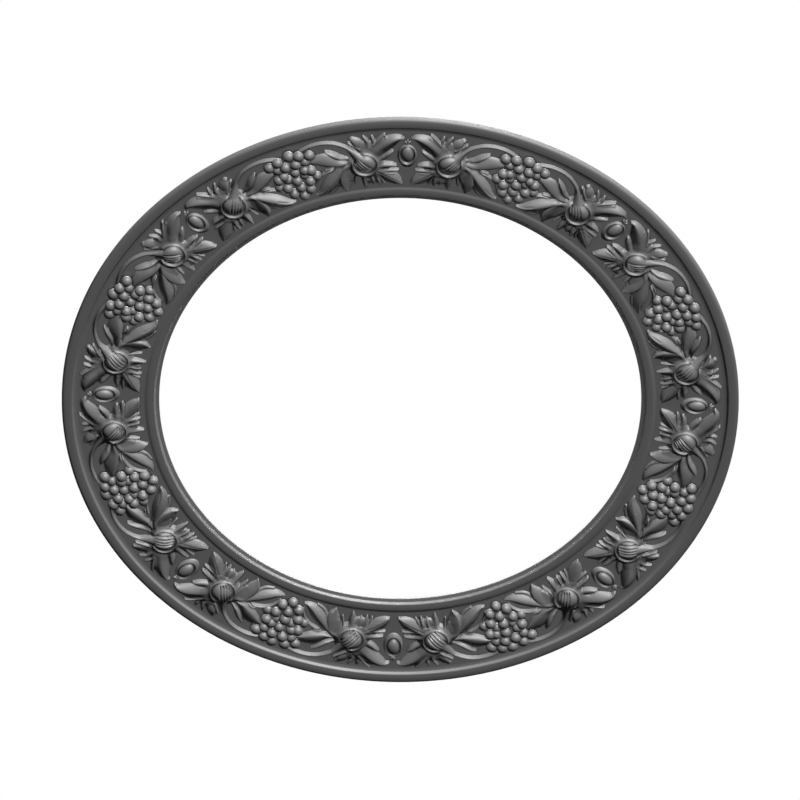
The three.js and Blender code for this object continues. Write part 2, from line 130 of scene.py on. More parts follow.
def make_piece(name, points, faces, material, node):
    """Put points and faces into a new piece that rides on the frame and replaces a node."""
    mesh = bpy.data.meshes.new(name)
    mesh.from_pydata(points.reshape(-1, 3), [], faces)
    mesh.polygons.foreach_set("use_smooth", np.ones(len(mesh.polygons), bool))
    mesh.materials.append(material)
    mesh.validate()
    piece = bpy.data.objects.new(name, mesh)
    bpy.context.scene.collection.objects.link(piece)
    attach(piece, "frame")
    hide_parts(node)


def grid_faces(rows, columns, wrap_rows=False, wrap_columns=False):
    """Quads of a grid whose points are numbered row by row."""
    r = np.arange(rows if wrap_rows else rows - 1)[:, None]
    c = np.arange(columns if wrap_columns else columns - 1)[None, :]
    r_next = (r + 1) % rows
    c_next = (c + 1) % columns
    quads = [r * columns + c, r * columns + c_next, r_next * columns + c_next, r_next * columns + c]
    return np.stack(np.broadcast_arrays(*quads), axis=-1).reshape(-1, 4)


def capped_faces(rings, columns):
    """Quads between closed rings and fans to the pole points numbered after the rings."""
    quads = grid_faces(rings, columns, wrap_columns=True)
    c = np.arange(columns)
    c_next = (c + 1) % columns
    first_pole = np.full(columns, rings * columns)
    last = (rings - 1) * columns
    start = np.stack([first_pole, c_next, c], axis=-1)
    end = np.stack([first_pole + 1, last + c, last + c_next], axis=-1)
    return quads, np.concatenate([start, end])


def on_band(turn, along, across, height):
    """Carry the drawing to the frame: squares along the band's circle, across it and up from it."""
    s = sizes()
    angle = turn + along * s.square / s.band_radius
    radius = s.band_radius + across * s.square
    depth = s.band_face - height * s.relief * s.square
    return np.stack([radius * np.sin(angle), depth + 0 * angle, radius * np.cos(angle)], axis=-1)


TURNS = 480
CORNER_STEPS = 5
SUPPORT = 0.25


def rounded(corners):
    """Round each corner of a closed outline with a quadratic curve that starts and ends the given
    distance from it, at most two fifths of a side. A support point follows the curve on each side,
    which keeps the flat faces flat."""
    outline = []
    count = len(corners)
    for i, (x, y, cut) in enumerate(corners):
        corner = np.array([x, y])
        ends = []
        for other in (corners[i - 1], corners[(i + 1) % count]):
            way = np.array(other[:2]) - corner
            far = np.hypot(*way)
            reach = min(cut, 0.4 * far)
            beyond = min(reach + SUPPORT, 0.45 * far)
            ends.append((corner + way / far * reach, corner + way / far * beyond))
        t = np.linspace(0, 1, CORNER_STEPS)[:, None]
        (start, before), (end, after) = ends
        curve = (1 - t) ** 2 * start + 2 * t * (1 - t) * corner + t**2 * end
        outline += [before[None], curve, after[None]]
    return np.concatenate(outline)


def turned_piece(name, corners, material, node):
    """Turn a closed outline about the frame's axis. Each corner gives its radius and its place
    behind the front in millimetres, and how far it is rounded."""
    outline = rounded(corners) * MM
    angle = 2 * np.pi * np.arange(TURNS)[None, :] / TURNS
    radius = outline[:, :1]
    depth = outline[:, 1:]
    points = np.stack([radius * np.sin(angle), depth + 0 * angle, radius * np.cos(angle)], axis=-1)
    faces = grid_faces(len(outline), TURNS, wrap_rows=True, wrap_columns=True)
    make_piece(name, points, faces, material, node)


# Carving


# The carving is drawn flat, in squares of 0.83 mm: along the band from a motif's axis, across it
# from the middle of the band outwards, and up from its face. A carved sheet ends a little way below
# the face, and its underside lies deeper still, inside the plate.
SUNK = 0.6
UNDER = 1.6
EDGE_WALL = 1.0


def ease(x):
    """Smooth step: 3x^2 - 2x^3 between 0 and 1."""
    x = np.clip(x, 0, 1)
    return x * x * (3 - 2 * x)


def blended(a, b, width):
    """The higher of two heights, filled in softly where they are within a width of each other. The
    width shrinks to nothing where the lower one sinks into the band."""
    reach = width * ease(np.minimum(a, b) + SUNK) + 1e-6
    near = np.clip(1 - np.abs(a - b) / reach, 0, None)
    return np.maximum(a, b) + near * near * reach / 4


def flowing(rows, steps=8):
    """Catmull-Rom curve through rows of numbers."""
    rows = np.asarray(rows, float)
    rows = np.vstack([2 * rows[0] - rows[1], rows, 2 * rows[-1] - rows[-2]])
    t = np.linspace(0, 1, steps, endpoint=False)[:, None]
    spans = []
    for a, b, c, d in zip(rows[:-3], rows[1:-2], rows[2:-1], rows[3:]):
        bend = 2 * b + (c - a) * t + (2 * a - 5 * b + 4 * c - d) * t**2
        spans.append(0.5 * (bend + (3 * b - a - 3 * c + d) * t**3))
    return np.vstack(spans + [rows[-2:-1]])


def along_path(u, v, rows):
    """Signed distance from each point to a curved midrib, positive on its left, and the numbers that
    the rows carry there."""
    line = flowing(rows)
    gap = np.full(u.shape, 1e9)
    side = np.zeros(u.shape)
    carried = np.zeros(u.shape + (line.shape[1] - 2,))
    for a, b in zip(line[:-1], line[1:]):
        step = b[:2] - a[:2]
        x = u - a[0]
        y = v - a[1]
        t = np.clip((x * step[0] + y * step[1]) / (step @ step), 0, 1)
        here = np.hypot(x - t * step[0], y - t * step[1])
        closer = here < gap
        gap[closer] = here[closer]
        side[closer] = np.sign(step[0] * y - step[1] * x)[closer]
        carried[closer] = (a[2:] + t[..., None] * (b[2:] - a[2:]))[closer]
    return gap * side, carried


def lobe(u, v, rows, crest=0.0, power=2.0):
    """Height of one carved lobe. Its rows give along, across, half width, ridge height and edge
    height. From the ridge, which stands the share crest of the half width to the left, the face
    falls by the power of the distance to the edge height, and then in a short wall to below the
    band."""
    d, carried = along_path(u, v, rows)
    half = np.maximum(carried[..., 0], 0.05)
    ridge = carried[..., 1]
    edge = carried[..., 2]
    s = d / half
    away = np.where(s > crest, (s - crest) / (1 - crest), (crest - s) / (1 + crest))
    face = edge + (ridge - edge) * (1 - np.clip(away, 0, 1.3) ** power)
    return (face + SUNK) * ease((half - np.abs(d)) / EDGE_WALL + 0.5) - SUNK


LOBES = {
    "crown body": dict(power=3, rows=[
        (36, 6, 8, 4.8, 3.4), (29, 14.5, 8, 4.7, 3.2), (23.8, 20.5, 5.6, 4.5, 3.0),
        (20, 25, 2.6, 3.8, 2.4)]),
    "long lobe by the cabochon": dict(crest=-0.1, power=1.7, rows=[
        (34, 5, 8, 4.6, 1.4), (28.5, 11, 8.2, 5.6, 1.2), (23, 16, 8.2, 6.4, 1.2),
        (17.5, 20.4, 7.6, 6.8, 1.2), (12, 23.6, 5.8, 6.4, 1.2), (7.6, 25, 3.6, 5.2, 1.2),
        (4.4, 24.4, 1.6, 3.8, 1.2)]),
    "spur behind the long lobe": dict(power=1.6, rows=[
        (32, 18.4, 2.4, 4.6, 1.6), (28.6, 22.2, 2.0, 5.0, 1.4), (25, 26.2, 1.9, 5.0, 1.4),
        (21.6, 29.8, 1.3, 4.4, 1.4)]),
    "rim leaf body": dict(power=3, rows=[
        (39.5, 9, 8.5, 3.6, 3.0), (38.6, 14, 8.0, 3.6, 2.8), (38.2, 18.2, 5.6, 3.4, 2.0)]),
    "rim leaf first point": dict(rows=[
        (35, 13, 3.0, 3.0, 2), (32.2, 19.5, 2.5, 3.8, 1.6), (32.6, 25, 1.9, 4.0, 1.4),
        (33.2, 28.4, 1.0, 3.0, 1.2)]),
    "rim leaf second point": dict(rows=[
        (38.6, 14, 3.2, 3.2, 2), (37.6, 21, 2.5, 3.9, 1.6), (39.2, 25.4, 1.9, 4.0, 1.4),
        (41, 28.8, 1.0, 3.0, 1.2)]),
    "rim leaf broad point": dict(crest=-0.3, rows=[
        (42.4, 9, 5.2, 3.2, 1.8), (44.4, 15, 5.6, 3.7, 1.8), (46.8, 20.4, 5.6, 4.6, 1.8),
        (49, 24, 4.6, 4.6, 1.6), (51.4, 27, 2.8, 3.6, 1.2)]),
    "bar under the stem": dict(rows=[
        (46, 15, 1.9, 4.6, 1.8), (49, 17.4, 1.9, 4.6, 1.6), (52.5, 20.4, 1.8, 4.4, 1.6),
        (55.2, 23, 1.6, 4.0, 1.6)]),
    "side leaf body": dict(power=3, rows=[
        (36, -7, 11, 5.4, 4.4), (29.5, -8.5, 9.4, 4.9, 4.0), (25.2, -9.5, 7.2, 4.4, 3.2),
        (22.6, -10.2, 5.2, 3.4, 2.0)]),
    "first side lobe": dict(crest=0.1, power=2.4, rows=[
        (33.6, 0, 4.6, 4.3, 0.8), (27.6, 1.8, 4.2, 4.5, 0.8), (22.1, 4.4, 3.9, 4.9, 0.8),
        (18, 7.4, 3.2, 5.1, 0.8), (15, 9.6, 1.8, 4.3, 0.8)]),
    "second side lobe": dict(crest=-0.1, rows=[
        (31.8, -6.4, 4.4, 4.6, 0.6), (26.8, -6.7, 4.2, 5, 0.6), (21.3, -6.8, 3.9, 5.2, 0.6),
        (15.8, -7, 3.3, 4.9, 0.6), (11.8, -7.6, 1.8, 4, 0.6)]),
    "third side lobe": dict(crest=0.1, rows=[
        (30.2, -12, 4.2, 4, 0.6), (24.2, -12.6, 3.4, 4.4, 0.6), (18.7, -12.8, 2.9, 4.6, 0.6),
        (13.2, -12.9, 2.5, 4.3, 0.6), (9.4, -13.2, 1.5, 3.6, 0.6)]),
    "inner corner lobe": dict(power=1.6, rows=[
        (36.2, -9.5, 6, 4.6, 1.4), (29.2, -13, 7.4, 5.2, 1.4), (22.2, -17.6, 7.8, 5.6, 1.4),
        (15.2, -22.3, 7.4, 5.6, 1.4), (10.2, -25.8, 5.4, 5.1, 1.4), (7.4, -27.8, 3.4, 4.5, 1.4),
        (5.6, -29, 1.4, 3.8, 1.4)]),
    "sight leaf body": dict(power=4, rows=[
        (39, -10, 12, 4.6, 3.4), (37.4, -16, 10.4, 4.4, 3.0), (36.8, -18.6, 9.2, 3.9, 2.4)]),
    "sight leaf first point": dict(power=1.6, rows=[
        (29.8, -17.6, 3, 3.9, 1.2), (26.8, -23, 2.2, 3.7, 1), (24.2, -28.8, 1, 3.1, 1)]),
    "sight leaf second point": dict(power=1.6, rows=[
        (32.2, -16, 3.8, 4.2, 1.4), (30.8, -22.6, 3.5, 5.2, 1.2), (30.2, -27, 2.3, 4.5, 1),
        (30, -29.8, 0.9, 3.3, 1)]),
    "sight leaf third point": dict(power=1.6, rows=[
        (38, -16, 2.4, 4.1, 1.4), (36.8, -23, 2.0, 4.5, 1.2), (36.4, -28.2, 1, 3.4, 1)]),
    "sight leaf broad point": dict(crest=0.35, power=1.8, rows=[
        (44.2, -12, 4.6, 5.1, 1.6), (44.4, -18.5, 4.6, 5.3, 1.4), (44.8, -25, 3.8, 4.7, 1.2),
        (45.4, -29.6, 2.2, 3.9, 1), (45.8, -32, 1, 3.1, 1)]),
    "thorn beside the heart leaf": dict(crest=0.2, power=1.6, rows=[
        (52.6, -12, 2.0, 4.2, 1.2), (54, -17, 1.6, 4.0, 1.2), (55.4, -22, 1.4, 3.8, 1.2),
        (56.6, -26.2, 0.8, 3, 1.0)]),
    "tooth of the inner corner lobe": dict(rows=[
        (23.2, -15.4, 2.6, 5, 1.2), (17.8, -16, 1.8, 4.8, 1.2), (13.2, -17, 0.9, 4, 1)]),
    "heart leaf body": dict(power=4, rows=[
        (55, -5, 6, 4.4, 2.4), (59, -12, 6, 4.0, 2.2), (61.4, -18, 4.6, 3.6, 2.0)]),
    "heart leaf": dict(crest=0.5, power=1.7, rows=[
        (57, -2.5, 3.2, 4.0, 1.4), (62.4, -6, 5.4, 5.6, 1.6), (65, -13, 7.4, 6, 1.8),
        (66.4, -20, 7.8, 6, 1.8), (66.8, -26, 6.2, 5.2, 1.4), (66.4, -29.6, 3.8, 4.4, 1.2),
        (66, -32.2, 1.4, 3.6, 1)]),
    "low flange": dict(power=1.6, rows=[
        (70, -14, 3, 2.6, 1.2), (74.4, -23, 2.6, 2.6, 1.0), (79.6, -29, 2.0, 2.2, 1.0),
        (87, -32.2, 1.4, 2.0, 1.0)]),
    "tooth on the low flange": dict(power=1.6, rows=[
        (74.5, -17, 2.2, 3.4, 1.2), (74.2, -22, 1.6, 3.8, 1.2), (74.6, -25.6, 0.8, 3.0, 1.0)]),
    "great leaf": dict(crest=0.12, power=1.8, rows=[
        (56, -2, 2.2, 3.4, 1.4), (66, -6.5, 3.6, 5.6, 1.4), (72, -12.2, 6, 6.6, 1.2),
        (78.8, -18.2, 7.6, 7.2, 1.0), (86, -23.6, 7.2, 7.0, 1.0), (92.6, -27.6, 5.2, 5.8, 1.0),
        (98, -29.4, 2.8, 4.4, 1.0), (101.6, -29.8, 1.2, 3.4, 1.0)]),
    "rolled edge of the great leaf": dict(power=1.8, rows=[
        (75.8, -5, 0.9, 2.6, 0.8), (78.6, -5.4, 1.4, 4.6, 1.6), (83.4, -6.4, 1.7, 4.8, 1.4),
        (89, -8.8, 1.6, 4.4, 1.2), (94.4, -12.8, 1.4, 3.8, 1.0), (98.4, -18, 1.3, 3.4, 1.0),
        (100.6, -23, 1.0, 3.0, 1.0)]),
    "curl over the rolled edge": dict(power=1.6, rows=[
        (73.6, -3, 0.5, 2.2, 0.8), (76.4, -2.8, 1.0, 3.8, 1.6), (79.6, -3.2, 1.4, 4.4, 1.6),
        (83.4, -4.4, 1.2, 4.2, 1.6)]),
    "leaf by the grapes": dict(crest=-0.4, rows=[
        (57.4, 0.8, 1.8, 2.6, 1.0), (64, 0.8, 2.9, 5.0, 1.2), (70, 1.9, 4.8, 5.6, 1.6),
        (76.5, 5.2, 6.8, 6.0, 1.6), (83, 8.2, 7.2, 5.8, 1.6), (89, 10, 5.4, 5.2, 1.6),
        (93.6, 10.7, 3.2, 4.4, 1.4), (96.2, 11, 1.5, 3.6, 1.4)]),
}

# The leaf tip that curls up over the leaf by the grapes, in rows like those of a lobe
CURL = [
    (57.6, 4.4, 1.4, 2.0, 0.8), (61.2, 5.4, 2.0, 3.6, 1.2), (64.4, 6.8, 2.5, 5.4, 2.2),
    (67.4, 8.4, 2.9, 6.2, 2.8), (70.4, 11, 3.1, 6.8, 3.0), (73.4, 13.8, 2.7, 6.8, 3.0),
    (76.4, 16.4, 1.8, 6.0, 2.8), (78.6, 18.2, 0.8, 4.8, 2.4)]

# The stem, from inside the fig along its arch to the grapes
STEM = [
    (44, -1.5, 7.4, 10.6, 7), (46, 2.4, 6.4, 10.0, 6.8), (48.4, 6, 5.2, 8.6, 5.6),
    (51.2, 9.4, 4.3, 7.0, 4.2), (53.8, 12.8, 3.4, 5.9, 3.2), (56, 15.6, 2.6, 5.2, 2.4),
    (58, 17.9, 2.1, 4.8, 1.8), (60.8, 20.2, 1.9, 4.5, 1.6), (65, 23, 1.8, 4.3, 1.6),
    (71, 26, 1.8, 4.2, 1.6), (80, 28, 1.8, 4.2, 1.6), (90, 27.9, 1.8, 4.2, 1.6),
    (98, 26, 1.8, 4.2, 1.6), (104, 23.6, 1.8, 4.2, 1.6)]

# Grooves along the middle of two leaves, whose rows give along, across, half width and depth
VEINS = [
    [(31, -12.6, 0.8, 0.4), (21, -18.6, 0.8, 0.4), (6.6, -27.6, 0.6, 0.3)],
    [(86, -20.6, 0.8, 0.5), (92, -25, 0.9, 0.6), (100, -29.2, 0.7, 0.4)],
]

# The cup and the fig, in squares and degrees about the middle of the cup
CUP_CENTRE = (42.6, -2.3)
LIP_RADIUS = 12.5
LIP_HEIGHT = 8.0
FLARE_FALL = 5.4
FLARE_REACH = 2.4
FLARE_END = (16.0, 20.0)
LIP_GROOVE = 3.6
GROOVE_WALL = 0.9
STEM_BEARING = 52
FIG_RADIUS = 12.0
FIG_HEIGHT = 11.5
FIG_LEAN = (-1.2, 3.0)
RIB_WAY = (0.645, 0.765)
RIB_DEPTH = 2.0
RIB_SPACING = 3.0
RIB_SHIFT = 3.8
SOFT_JOIN = 2.4


def window(x, start, rise, end, fall):
    """One between start and end, fading to nothing over rise and fall inside them."""
    return ease((x - start) / rise) * ease((end - x) / fall)


def with_cup(du, dv, r, height):
    """Add the cup. Outside its lip it falls as an exponential flare, which is lower and has no groove
    where the stem leaves, and inside it lies a thin groove round the fig."""
    flare = LIP_HEIGHT - FLARE_FALL * (1 - np.exp(-np.clip(r - LIP_RADIUS, 0, None) / FLARE_REACH))
    turned = np.abs(np.degrees(np.arctan2(dv, du)) - STEM_BEARING)
    flare = flare * (1 - 0.5 * ease((42 - turned) / 26))
    near, far = FLARE_END
    flare = flare - (flare + SUNK) * ease((r - near) / (far - near))
    height = blended(height, flare, SOFT_JOIN)
    opening = ease((34 - turned) / 14)
    groove = LIP_GROOVE * ease((LIP_RADIUS - r) / GROOVE_WALL) * (1 - opening)
    return np.where(r < LIP_RADIUS, height - groove, height)


def fig_dome(du, dv, r):
    """Height of the fig: a blunt dome, round at its foot, whose top leans to one side. Its ribs run
    as meridians towards the stem, cosine waves across the way from foot to stem."""
    lean = np.clip(1 - (r / FIG_RADIUS) ** 2, 0, 1)
    off_top = np.hypot(du - FIG_LEAN[0] * lean, dv - FIG_LEAN[1] * lean) / FIG_RADIUS
    dome = FIG_HEIGHT * np.clip(1 - off_top**2.3, 0, 1) ** 0.46
    x = du * RIB_WAY[0] + dv * RIB_WAY[1]
    y = du * RIB_WAY[1] - dv * RIB_WAY[0]
    meridian = y / np.sqrt(np.clip(1 - (x / 16) ** 2, 0.02, 1))
    ribbed = window(meridian, -4.4, 1.6, 11, 1.2) * window(x, -9.5, 2.5, 11, 3)
    wave = 0.5 - 0.5 * np.cos(2 * np.pi * (meridian + RIB_SHIFT) / RIB_SPACING)
    return dome - RIB_DEPTH * ribbed * wave * (r < FIG_RADIUS)


def cup_and_fig(u, v, height):
    """Add the flared cup, the ribbed fig in it and the stem that grows out of the fig's top."""
    du = u - CUP_CENTRE[0]
    dv = v - CUP_CENTRE[1]
    r = np.hypot(du, dv)
    height = with_cup(du, dv, r, height)
    height = np.where(r < FIG_RADIUS, blended(height, fig_dome(du, dv, r), 0.8), height)
    return blended(height, lobe(u, v, STEM, crest=0.15), SOFT_JOIN)


def spray_height(u, v):
    """Height of the whole leaf spray over the band. The lobes are filled in more softly near the
    cup, where they grow together, than at their tips."""
    from_cup = np.hypot(u - CUP_CENTRE[0], v - CUP_CENTRE[1])
    fill = 0.7 + 2.0 * ease((28 - from_cup) / 10)
    height = np.full(u.shape, -SUNK)
    for shape in LOBES.values():
        height = blended(height, lobe(u, v, **shape), fill)
    for rows in VEINS:
        d, carried = along_path(u, v, rows)
        height = height - carried[..., 1] * ease(1.4 - np.abs(d) / carried[..., 0])
    height = cup_and_fig(u, v, height)
    return blended(height, lobe(u, v, CURL), 0.4)


def carved_sheet(u, v, height):
    """Close a height field from below: drop the cells that lie wholly under the band, repeat the rest
    a fixed depth down with turned faces, and join both sheets along every open edge."""
    rows, columns = u.shape
    proud = height > -SUNK + 0.02
    cell = proud[:-1, :-1] | proud[1:, :-1] | proud[:-1, 1:] | proud[1:, 1:]
    count = rows * columns
    top = grid_faces(rows, columns)[cell.ravel()]
    bottom = top[:, ::-1] + count
    padded = np.pad(cell, 1)
    number = np.arange(count).reshape(rows, columns)
    sides = []
    low = cell & ~padded[:-2, 1:-1]
    sides.append((number[:-1, 1:][low], number[:-1, :-1][low]))
    high = cell & ~padded[2:, 1:-1]
    sides.append((number[1:, :-1][high], number[1:, 1:][high]))
    left = cell & ~padded[1:-1, :-2]
    sides.append((number[:-1, :-1][left], number[1:, :-1][left]))
    right = cell & ~padded[1:-1, 2:]
    sides.append((number[1:, 1:][right], number[:-1, 1:][right]))
    walls = [np.stack([a, b, b + count, a + count], axis=-1) for a, b in sides]
    faces = np.concatenate([top, bottom, *walls])
    used, faces = np.unique(faces, return_inverse=True)
    flat = np.concatenate([np.stack([u, v, height], -1).reshape(-1, 3),
                           np.stack([u, v, np.full(u.shape, -UNDER)], -1).reshape(-1, 3)])
    return flat[used], faces.reshape(-1, 4)


SPRAY_ALONG = (-1, 107)
SPRAY_ACROSS = (-36, 35)


class CARVED_OT_sprays(bpy.types.Operator):
    """Carve the sixteen leaf sprays, right and left hand"""

    bl_idname = "carved_frame.sprays"
    bl_label = "Leaf sprays"

    def execute(self, context):
        cell = sizes().cell
        along = np.arange(*SPRAY_ALONG, cell)
        across = np.arange(*SPRAY_ACROSS, cell)
        v, u = np.meshgrid(across, along, indexing="ij")
        drawn, faces = carved_sheet(u, v, spray_height(u, v))
        lacquer = lacquer_material()
        for hand, sign in (("right", 1), ("left", -1)):
            for i in range(MOTIFS):
                points = on_band(i * MOTIF_TURN, sign * drawn[:, 0], drawn[:, 1], drawn[:, 2])
                outward = faces if sign > 0 else faces[:, ::-1]
                node = f"leaf_spray_{hand}_{i + 1}"
                make_piece(f"carved_spray_{hand}_{i + 1}", points, outward, lacquer,
                           node)
        return {"FINISHED"}


# Grapes as along, across, height of the middle and radius. The first ones stand in mirrored pairs.
PAIRED_GRAPES = [
    (5.25, 14, 6, 5.4), (12.4, -10, 5, 5.5), (9.4, -19.75, 3, 5.7), (20, 18.5, 3, 5.4),
    (17, 2, 5, 5.5), (11, 4, 4.6, 5.3), (10.5, 21.5, 4.6, 5.4), (14, 13, 3, 5.2),
    (20.25, -7.3, 2, 5.2), (8.6, -2.2, 2.4, 5.0),
]
MIDDLE_GRAPES = [
    (0, -5.5, 5, 5.6), (1.5, 5, 5, 5.4), (0.75, -14.5, 4, 5.6), (1.5, 23.75, 3, 5.7),
    (0, -25.75, 2, 5.6),
]
GRAPE_RINGS = 13
GRAPE_COLUMNS = 26

# The mound under the grapes rises to a share of each grape's height, inside its outline
MOUND_ALONG = (-28, 29)
MOUND_ACROSS = (-34, 34)
MOUND_CELL = 1.0
MOUND_SHARE = 0.4
MOUND_INSET = 1.8
MOUND_SLOPE = 2.5


def grape_places():
    """All the grapes of one bunch."""
    pairs = [(sign * along, *rest) for along, *rest in PAIRED_GRAPES for sign in (1, -1)]
    return np.array(pairs + MIDDLE_GRAPES, float)


def ball_rings(rings, columns):
    """Unit ball: rings at equal steps of latitude between two poles on the height axis."""
    polar = np.pi * (np.arange(rings) + 1)[:, None] / (rings + 1)
    around = 2 * np.pi * np.arange(columns)[None, :] / columns
    ring = np.stack([np.sin(polar) * np.sin(around), np.sin(polar) * np.cos(around),
                     np.cos(polar) + 0 * around], axis=-1).reshape(-1, 3)
    return np.concatenate([ring, [[0, 0, 1], [0, 0, -1]]])


class CARVED_OT_bunches(bpy.types.Operator):
    """Turn the grapes of the eight bunches and carve the mound that they stand on"""

    bl_idname = "carved_frame.bunches"
    bl_label = "Grape bunches"

    def execute(self, context):
        lacquer = lacquer_material()
        grapes = grape_places()
        ball = ball_rings(GRAPE_RINGS, GRAPE_COLUMNS)
        quads, fans = capped_faces(GRAPE_RINGS, GRAPE_COLUMNS)
        across = np.arange(*MOUND_ACROSS, MOUND_CELL)
        v, u = np.meshgrid(across, np.arange(*MOUND_ALONG, MOUND_CELL), indexing="ij")
        mound = np.full(u.shape, -SUNK)
        for x, y, middle, radius in grapes:
            inside = ease((radius - MOUND_INSET - np.hypot(u - x, v - y)) / MOUND_SLOPE)
            mound = np.maximum(mound, (MOUND_SHARE * middle + SUNK) * inside - SUNK)
        mound_points, mound_faces = carved_sheet(u, v, mound)
        balls = grapes[:, None, :3] + ball[None] * grapes[:, None, 3:]
        starts = np.arange(len(grapes))[:, None, None] * len(ball) + len(mound_points)
        faces = mound_faces.tolist() + (quads + starts).reshape(-1, 4).tolist()
        faces += (fans + starts).reshape(-1, 3).tolist()
        drawn = np.concatenate([mound_points, balls.reshape(-1, 3)])
        for i in range(MOTIFS):
            points = on_band((i + 0.5) * MOTIF_TURN, drawn[:, 0], drawn[:, 1], drawn[:, 2])
            make_piece(f"turned_grapes_{i + 1}", points, faces, lacquer,
                       f"grape_bunch_{i + 1}")
        return {"FINISHED"}


# The stone is half an ellipsoid with these half widths, along and across
STONE_HALF_WIDTHS = (6.1, 9.2)
STONE_MIDDLE = 5.4
STONE_FOOT = 1.1
STONE_RISE = 5.0
OVAL_COLUMNS = 48

# The setting from the stone outwards: half width along and across, middle across, height
RING_OF_SETTING = [
    (6.3, 9.4, 5.4, 1.0), (6.6, 9.8, 5.3, 1.1), (7.1, 10.3, 5.1, 2.0), (7.7, 10.9, 4.8, 3.0),
    (8.3, 11.6, 4.4, 2.9), (9.0, 12.7, 3.6, 1.8), (9.6, 13.6, 2.95, 0.5), (9.85, 13.9, 2.75, -0.8),
]


def oval_profile():
    """Half widths, middle and height from just beside the top of the stone outwards. The stone
    follows a sine and a cosine, and the setting's ring is a smooth curve through a few places."""
    t = np.linspace(0.02, 1, 14)[:, None] * np.pi / 2
    wide, tall = STONE_HALF_WIDTHS
    stone = np.hstack([wide * np.sin(t), tall * np.sin(t), STONE_MIDDLE + 0 * t,
                       STONE_FOOT + STONE_RISE * np.cos(t)])
    return np.vstack([stone, flowing(RING_OF_SETTING, 4)])


# The sprig is three drops that fan out from one foot, given by their lean in radians and length
DROPS = ((-0.6, 4.6), (0, 6.4), (0.6, 4.6))
DROP_HALF_WIDTH = 1.1
DROP_HALF_HEIGHT = 1.7
DROP_RINGS = 9
DROP_COLUMNS = 16
SPRIG_FOOT = 16.6
SPRIG_LIFT = 0.6


class CARVED_OT_cabochons(bpy.types.Operator):
    """Turn the eight oval cabochons in their settings, each with its small sprig"""

    bl_idname = "carved_frame.cabochons"
    bl_label = "Cabochons"

    def execute(self, context):
        lacquer = lacquer_material()
        profile = oval_profile()
        around = 2 * np.pi * np.arange(OVAL_COLUMNS)[None, :] / OVAL_COLUMNS
        wide, tall, middle, height = profile.T[:, :, None]
        ring = np.stack([wide * np.sin(around), middle + tall * np.cos(around),
                         height + 0 * around], axis=-1)
        top = [0, STONE_MIDDLE, STONE_FOOT + STONE_RISE]
        foot = [0, *RING_OF_SETTING[-1][2:]]
        oval = np.concatenate([ring.reshape(-1, 3), [top, foot]])
        quads, fans = capped_faces(len(profile), OVAL_COLUMNS)
        ball = ball_rings(DROP_RINGS, DROP_COLUMNS)
        ball_quads, ball_fans = capped_faces(DROP_RINGS, DROP_COLUMNS)
        parts = [oval]
        faces = quads.tolist() + fans.tolist()
        start = len(oval)
        for lean, rise in DROPS:
            drop = ball * [DROP_HALF_WIDTH, rise / 2, DROP_HALF_HEIGHT]
            turned = np.stack([drop[:, 0] * math.cos(lean) + drop[:, 1] * math.sin(lean),
                               drop[:, 1] * math.cos(lean) - drop[:, 0] * math.sin(lean),
                               drop[:, 2]], axis=-1)
            middle = [math.sin(lean) * rise / 2, SPRIG_FOOT + rise / 2, SPRIG_LIFT]
            parts.append(turned + middle)
            faces += (ball_quads + start).tolist() + (ball_fans + start).tolist()
            start += len(ball)
        drawn = np.concatenate(parts)
        for i in range(MOTIFS):
            points = on_band(i * MOTIF_TURN, drawn[:, 0], drawn[:, 1], drawn[:, 2])
            make_piece(f"turned_cabochon_{i + 1}", points, faces, lacquer,
                       f"cabochon_{i + 1}")
        return {"FINISHED"}


class CARVED_OT_plate(bpy.types.Operator):
    """Turn the ring that carries the carving, with its sight lip and two rims"""

    bl_idname = "carved_frame.plate"
    bl_label = "Turned plate"

    def execute(self, context):
        s = sizes()
        sight = s.sight_radius / MM
        band = s.band_face / MM
        back = s.plate_back / MM
        inner = band - s.inner_rim / MM
        outer = band - s.outer_rim / MM
        # Each corner is its radius, its place behind the front and how far it is rounded
        corners = [
            (sight, back, 0.3), (sight, band + 1.9, 0.3), (sight + 2.9, band + 1.35, 0.3),
            (sight + 4.4, inner, 0.6), (sight + 8, inner - 0.15, 3), (sight + 10.2, inner, 0.6),
            (sight + 12.2, band, 0.6), (sight + 68.6, band, 0.6), (sight + 71.4, band - 0.45, 0.9),
            (sight + 72.4, outer + 0.1, 0.8), (sight + 76, outer - 0.1, 3),
            (sight + 79.4, outer + 0.2, 0.8), (sight + 81, band - 1.7, 1.0), (sight + 81, back, 0.3),
        ]
        turned_piece("turned_plate", corners, lacquer_material(), "carved_plate")
        return {"FINISHED"}


# Materials


def add_node(tree, kind, values=None, links=None, **settings):
    """Add one node: settings are its own options, values fill sockets and links feed them."""
    node = tree.nodes.new(kind)
    for name, value in settings.items():
        setattr(node, name, value)
    for name, value in (values or {}).items():
        node.inputs[name].default_value = value
    for name, source in (links or {}).items():
        tree.links.new(source, node.inputs[name])
    return node


def new_material(name, base, roughness, metallic=0.0):
    """A material with its shader's plain values set, and the tree to add to."""
    material = bpy.data.materials.new(name)
    material.use_nodes = True
    material.diffuse_color = base
    shader = material.node_tree.nodes["Principled BSDF"]
    shader.inputs["Base Color"].default_value = base
    shader.inputs["Roughness"].default_value = roughness
    shader.inputs["Metallic"].default_value = metallic
    return material, material.node_tree, shader


def shade(colour_value, factor):
    """The same colour made darker or lighter."""
    return (*(min(1.0, part * factor) for part in colour_value[:3]), 1.0)


def between(tree, factor, dark, light):
    """A colour between two by a factor. Sockets 6 and 7 of the node are its two colours."""
    node = add_node(tree, "ShaderNodeMix", {6: dark, 7: light}, {0: factor}, data_type="RGBA")
    return node.outputs[2]


